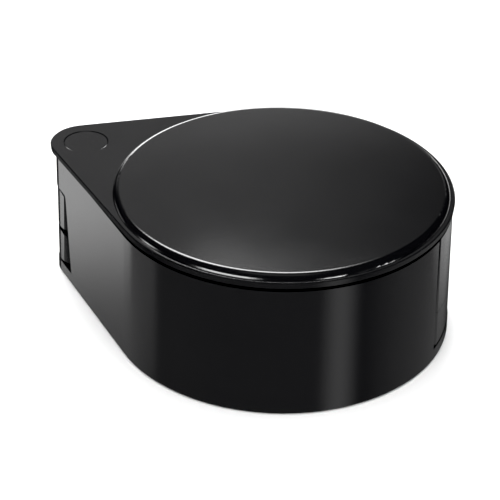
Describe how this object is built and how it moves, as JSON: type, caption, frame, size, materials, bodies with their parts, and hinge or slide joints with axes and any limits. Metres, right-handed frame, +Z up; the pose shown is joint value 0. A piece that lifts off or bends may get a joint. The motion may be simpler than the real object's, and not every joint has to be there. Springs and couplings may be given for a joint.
{
  "type": "folding hand lens",
  "caption": "Folding pocket hand lens: framed magnifying lenses swing on a pin out of the open side of a teardrop-shaped black case with a domed round top.",
  "frame": {"origin": "middle of the foot of the case, on the surface it lies on", "axes": "+X from the pivot towards the lenses, +Y out of the open side of the case, +Z up through the lenses"},
  "size_m": [0.0401, 0.0322, 0.0148],
  "materials": {
    "black_plastic": "satin-gloss moulded plastic, fine moulding grain",
    "frame_plastic": "satin moulded plastic",
    "ring_plastic": "matte black plastic",
    "lens_clear": "polished clear lens",
    "steel": "turned steel",
    "spring_steel": "rolled spring steel",
    "washer_nylon": "natural nylon"
  },
  "bodies": {
    "case": {"case_body": "black_plastic", "case_cover": "black_plastic", "pivot_pin": "steel", "pin_retainer": "spring_steel", "spring_washer": "spring_steel", "middle_washer": "washer_nylon", "bottom_washer": "washer_nylon"},
    "upper_lens": {"upper_lens_frame": "frame_plastic", "field_lens": "lens_clear", "lens_spacer": "ring_plastic", "eye_lens": "lens_clear", "upper_retaining_ring": "ring_plastic"},
    "lower_lens": {"lower_lens_frame": "frame_plastic", "reading_lens": "lens_clear", "lower_retaining_ring": "ring_plastic"}
  },
  "joints": [
    {"name": "upper_lens_swing", "type": "hinge", "parent": "case", "child": "upper_lens", "pos_m": [-0.01665, 0, 0.0064], "axis": [0, 0, 1], "range_deg": [0, 154]},
    {"name": "lower_lens_swing", "type": "hinge", "parent": "case", "child": "lower_lens", "pos_m": [-0.01665, 0, 0.0064], "axis": [0, 0, 1], "range_deg": [0, 162]}
  ]
}
